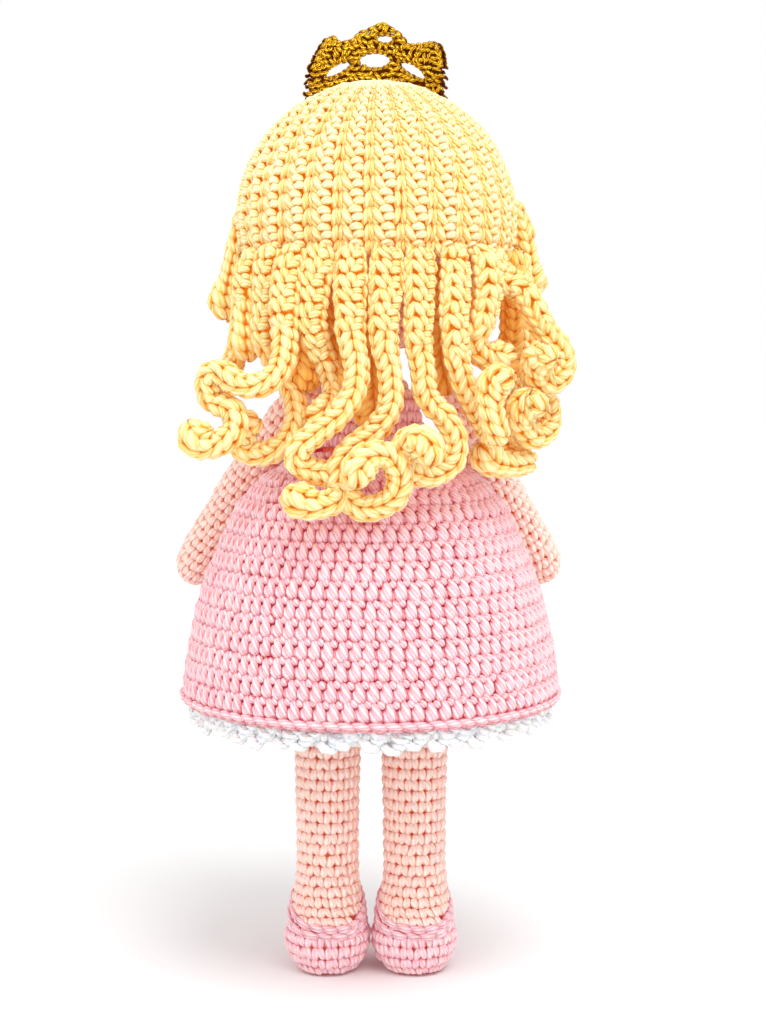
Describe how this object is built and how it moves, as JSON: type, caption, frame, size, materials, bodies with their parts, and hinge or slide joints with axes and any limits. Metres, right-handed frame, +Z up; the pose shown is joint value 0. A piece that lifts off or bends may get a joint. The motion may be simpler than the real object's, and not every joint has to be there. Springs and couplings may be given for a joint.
{
  "type": "amigurumi doll",
  "caption": "Crocheted standing doll with curled yarn hair, a small open crown, a bell-shaped dress over a petticoat, slippers and arms that swing at the shoulder.",
  "frame": {"origin": "on the floor, between the two soles, under the middle of the doll's box", "axes": "+Z up, the doll faces -Y, its left side is +X"},
  "size_m": [0.142, 0.134, 0.3308],
  "materials": {
    "skin_yarn": "matt cotton yarn, single crochet",
    "hair_yarn": "matt cotton yarn, crocheted strands",
    "dress_yarn": "matt cotton yarn, half double crochet",
    "slipper_yarn": "matt cotton yarn, single crochet",
    "white_yarn": "matt cotton yarn, ruffled edge",
    "gold_yarn": "metallic thread over a fine core",
    "face_thread": "embroidery thread",
    "arm_thread": "doubled joint thread",
    "stuffing": "polyester fibre fill",
    "eye_plastic": "glossy domed button",
    "washer_plastic": "moulded",
    "rod_wood": "plain dowel",
    "leg_wire": "bare craft wire",
    "insole_card": "stiff card"
  },
  "bodies": {
    "doll": {"head": "skin_yarn", "head_stuffing": "stuffing", "hair_cap": "hair_yarn", "crown": "gold_yarn", "smile_thread": "face_thread", "nose_thread": "skin_yarn", "eye_left": "eye_plastic", "eye_right": "eye_plastic", "eye_washer_left": "washer_plastic", "eye_washer_right": "washer_plastic", "hair_left_temple": "hair_yarn", "hair_left_ear": "hair_yarn", "hair_left_cheek": "hair_yarn", "hair_left_bowl": "hair_yarn", "hair_left_wave": "hair_yarn", "hair_left_back": "hair_yarn", "hair_centre_sway": "hair_yarn", "hair_centre_inner": "hair_yarn", "hair_centre_curl": "hair_yarn", "hair_right_curl": "hair_yarn", "hair_right_back": "hair_yarn", "hair_right_hook": "hair_yarn", "hair_right_loop": "hair_yarn", "hair_right_inner": "hair_yarn", "hair_right_ear": "hair_yarn", "hair_right_low": "hair_yarn", "hair_right_temple": "hair_yarn", "hair_left_inner": "hair_yarn", "hair_middle_inner": "hair_yarn", "hair_right_middle_inner": "hair_yarn", "hair_left_fringe": "hair_yarn", "hair_right_fringe": "hair_yarn", "torso": "skin_yarn", "torso_stuffing": "stuffing", "neck_rod": "rod_wood", "bodice": "dress_yarn", "skirt": "dress_yarn", "skirt_hem": "dress_yarn", "petticoat": "white_yarn", "leg_left": "skin_yarn", "leg_right": "skin_yarn", "leg_stuffing_left": "stuffing", "leg_stuffing_right": "stuffing", "leg_wire_left": "leg_wire", "leg_wire_right": "leg_wire", "slipper_left": "slipper_yarn", "slipper_right": "slipper_yarn", "slipper_rim_left": "slipper_yarn", "slipper_rim_right": "slipper_yarn", "insole_left": "insole_card", "insole_right": "insole_card", "foot_stuffing_left": "stuffing", "foot_stuffing_right": "stuffing"},
    "arm_left": {"arm_left": "skin_yarn", "arm_stuffing_left": "stuffing", "arm_thread_left": "arm_thread"},
    "arm_right": {"arm_right": "skin_yarn", "arm_stuffing_right": "stuffing", "arm_thread_right": "arm_thread"}
  },
  "joints": [
    {"name": "arm_swing_left", "type": "hinge", "parent": "doll", "child": "arm_left", "pos_m": [0.0225, -0.003, 0.2025], "axis": [-1, 0, 0], "range_deg": [0, 80]},
    {"name": "arm_swing_right", "type": "hinge", "parent": "doll", "child": "arm_right", "pos_m": [-0.0225, -0.003, 0.2025], "axis": [-1, 0, 0], "range_deg": [0, 80]}
  ]
}
